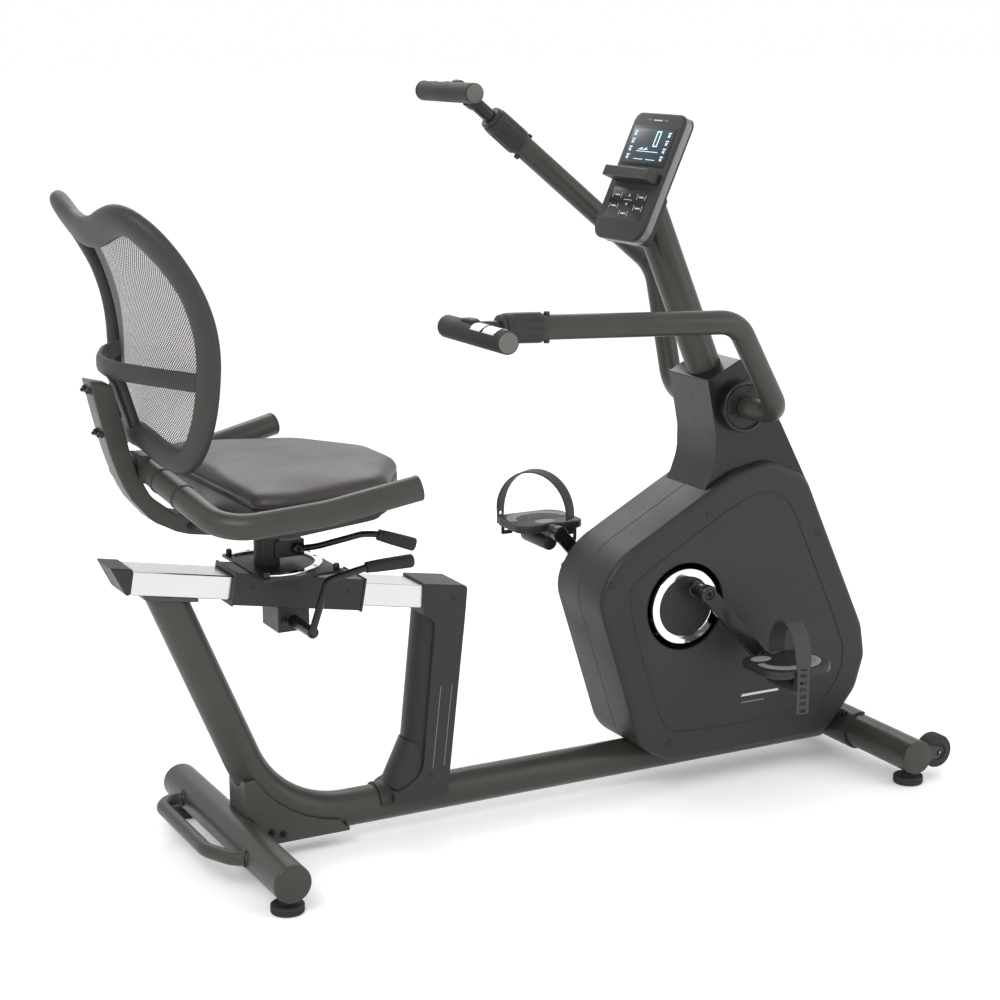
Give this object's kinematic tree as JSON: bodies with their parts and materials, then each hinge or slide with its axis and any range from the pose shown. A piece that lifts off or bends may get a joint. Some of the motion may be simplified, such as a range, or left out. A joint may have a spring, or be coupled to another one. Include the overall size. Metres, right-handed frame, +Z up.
{
  "type": "recumbent exercise bike",
  "caption": "Recumbent exercise bike with a swivelling seat on a sloping rail, two swinging hand arms, a flywheel drive in a round-shouldered housing and a tilted console.",
  "frame": {"origin": "on the floor, under the middle of the machine's bounding box", "axes": "+X towards the console end, along the machine's length; +Y to the rider's left; +Z up"},
  "size_m": [1.4688, 0.744, 1.1932],
  "materials": {
    "painted_steel": "satin dark grey-green paint",
    "dark_plastic": "fine-grained dark grey-green moulding",
    "black_steel": "gloss black paint",
    "aluminium": "polished extrusion",
    "chrome": "bright plate",
    "bright_steel": "turned steel",
    "rubber": "matt black",
    "leather": "grained dark brown-grey cover over foam",
    "mesh_cloth": "stretched grey mesh weave",
    "glass": "dark clear window",
    "cast_iron": "machined rim"
  },
  "bodies": {
    "frame": {"main_tube": "painted_steel", "rear_gusset": "painted_steel", "rear_stabiliser": "painted_steel", "front_stabiliser": "painted_steel", "front_saddle": "painted_steel", "seat_rail": "aluminium", "rail_end_cap": "dark_plastic", "post_cover": "dark_plastic", "housing_right": "dark_plastic", "housing_left": "dark_plastic", "neck_cover_right": "dark_plastic", "neck_cover_left": "dark_plastic", "console_post": "painted_steel", "arm_axle": "bright_steel", "console_body": "dark_plastic", "console_screen": "glass", "console_shelf": "dark_plastic", "drive_bracket": "painted_steel", "drive_belt": "rubber"},
    "foot_rear_right": {"foot_rear_right": "rubber"},
    "foot_rear_left": {"foot_rear_left": "rubber"},
    "foot_front_right": {"foot_front_right": "rubber"},
    "foot_front_left": {"foot_front_left": "rubber"},
    "wheel_right": {"wheel_right": "rubber"},
    "wheel_left": {"wheel_left": "rubber"},
    "carriage": {"carriage": "painted_steel", "index_arc": "chrome"},
    "slide_lever": {"slide_lever": "black_steel", "slide_lever_grip": "rubber"},
    "seat": {"seat_base": "painted_steel", "seat_cushion": "leather", "back_spine": "painted_steel", "back_frame": "dark_plastic", "back_mesh": "mesh_cloth", "seat_handlebar": "painted_steel"},
    "swivel_lever": {"swivel_lever": "black_steel", "swivel_lever_grip": "rubber"},
    "right_arm": {"arm_tube_right": "painted_steel", "arm_hub_right": "painted_steel"},
    "left_arm": {"arm_tube_left": "painted_steel", "arm_hub_left": "painted_steel"},
    "right_collar": {"arm_collar_right": "dark_plastic"},
    "left_collar": {"arm_collar_left": "dark_plastic"},
    "right_grip": {"hand_grip_right": "rubber"},
    "left_grip": {"hand_grip_left": "rubber"},
    "crank": {"crank_axle": "bright_steel", "drive_pulley": "dark_plastic", "crank_disc_right": "painted_steel", "crank_disc_left": "painted_steel", "crank_arm_right": "black_steel", "crank_arm_left": "black_steel"},
    "right_pedal": {"pedal_right": "dark_plastic", "pedal_strap_right": "rubber"},
    "left_pedal": {"pedal_left": "dark_plastic", "pedal_strap_left": "rubber"},
    "flywheel": {"flywheel": "cast_iron"},
    "magnet_brake": {"magnet_brake": "black_steel"}
  },
  "joints": [
    {"name": "foot_rear_right_level", "type": "hinge", "parent": "frame", "child": "foot_rear_right", "pos_m": [-0.5186, -0.222, 0], "axis": [0, 0, 1], "range_deg": [-180, 180]},
    {"name": "foot_rear_left_level", "type": "hinge", "parent": "frame", "child": "foot_rear_left", "pos_m": [-0.5186, 0.222, 0], "axis": [0, 0, 1], "range_deg": [-180, 180]},
    {"name": "foot_front_right_level", "type": "hinge", "parent": "frame", "child": "foot_front_right", "pos_m": [0.6438, -0.222, 0], "axis": [0, 0, 1], "range_deg": [-180, 180]},
    {"name": "foot_front_left_level", "type": "hinge", "parent": "frame", "child": "foot_front_left", "pos_m": [0.6438, 0.222, 0], "axis": [0, 0, 1], "range_deg": [-180, 180]},
    {"name": "wheel_right_roll", "type": "hinge", "parent": "frame", "child": "wheel_right", "pos_m": [0.7054, -0.2122, 0.046], "axis": [0, 1, 0], "continuous": true},
    {"name": "wheel_left_roll", "type": "hinge", "parent": "frame", "child": "wheel_left", "pos_m": [0.7054, 0.2122, 0.046], "axis": [0, 1, 0], "continuous": true},
    {"name": "seat_slide", "type": "slide", "parent": "frame", "child": "carriage", "axis": [0.9854, 0, -0.1702], "range_m": [-0.045, 0.09]},
    {"name": "slide_lever_turn", "type": "hinge", "parent": "carriage", "child": "slide_lever", "pos_m": [-0.4216, 0, 0.388], "axis": [0, 1, 0], "range_deg": [0, 12]},
    {"name": "seat_swivel", "type": "hinge", "parent": "carriage", "child": "seat", "pos_m": [-0.4506, 0, 0.475], "axis": [0, 0, 1], "range_deg": [-90, 45]},
    {"name": "swivel_lever_turn", "type": "hinge", "parent": "seat", "child": "swivel_lever", "pos_m": [-0.4086, 0, 0.5], "axis": [0, -1, 0], "range_deg": [0, 12]},
    {"name": "right_arm_swing", "type": "hinge", "parent": "frame", "child": "right_arm", "pos_m": [0.3814, 0, 0.662], "axis": [0, 1, 0], "range_deg": [0, 36.5]},
    {"name": "left_arm_swing", "type": "hinge", "parent": "frame", "child": "left_arm", "pos_m": [0.3814, 0, 0.662], "axis": [0, 1, 0], "range_deg": [-36.5, 0]},
    {"name": "right_collar_turn", "type": "hinge", "parent": "right_arm", "child": "right_collar", "pos_m": [-0.0916, -0.221, 0.846], "axis": [-0.9991, 0, 0.0426], "range_deg": [0, 90]},
    {"name": "left_collar_turn", "type": "hinge", "parent": "left_arm", "child": "left_collar", "pos_m": [0.11062, 0.221, 1.09126], "axis": [-0.7778, 0, 0.6285], "range_deg": [0, 90]},
    {"name": "right_grip_slide", "type": "slide", "parent": "right_arm", "child": "right_grip", "axis": [-0.9991, 0, 0.0426], "range_m": [0, 0.045]},
    {"name": "left_grip_slide", "type": "slide", "parent": "left_arm", "child": "left_grip", "axis": [-0.7778, 0, 0.6285], "range_m": [0, 0.045]},
    {"name": "crank_turn", "type": "hinge", "parent": "frame", "child": "crank", "pos_m": [0.2684, 0, 0.331], "axis": [0, 1, 0], "continuous": true},
    {"name": "right_pedal_turn", "type": "hinge", "parent": "crank", "child": "right_pedal", "pos_m": [0.4014, -0.192, 0.233], "axis": [0, 1, 0], "continuous": true},
    {"name": "left_pedal_turn", "type": "hinge", "parent": "crank", "child": "left_pedal", "pos_m": [0.1354, 0.192, 0.429], "axis": [0, 1, 0], "continuous": true},
    {"name": "flywheel_turn", "type": "hinge", "parent": "frame", "child": "flywheel", "pos_m": [0.5114, 0, 0.215], "axis": [0, 1, 0], "continuous": true},
    {"name": "brake_swing", "type": "hinge", "parent": "frame", "child": "magnet_brake", "pos_m": [0.4954, 0, 0.33], "axis": [0, 1, 0], "range_deg": [0, 8]}
  ],
  "couplings": [
    {"joint": "left_arm_swing", "follows": "right_arm_swing", "ratio": -1},
    {"joint": "flywheel_turn", "follows": "crank_turn", "ratio": 6.4024}
  ]
}
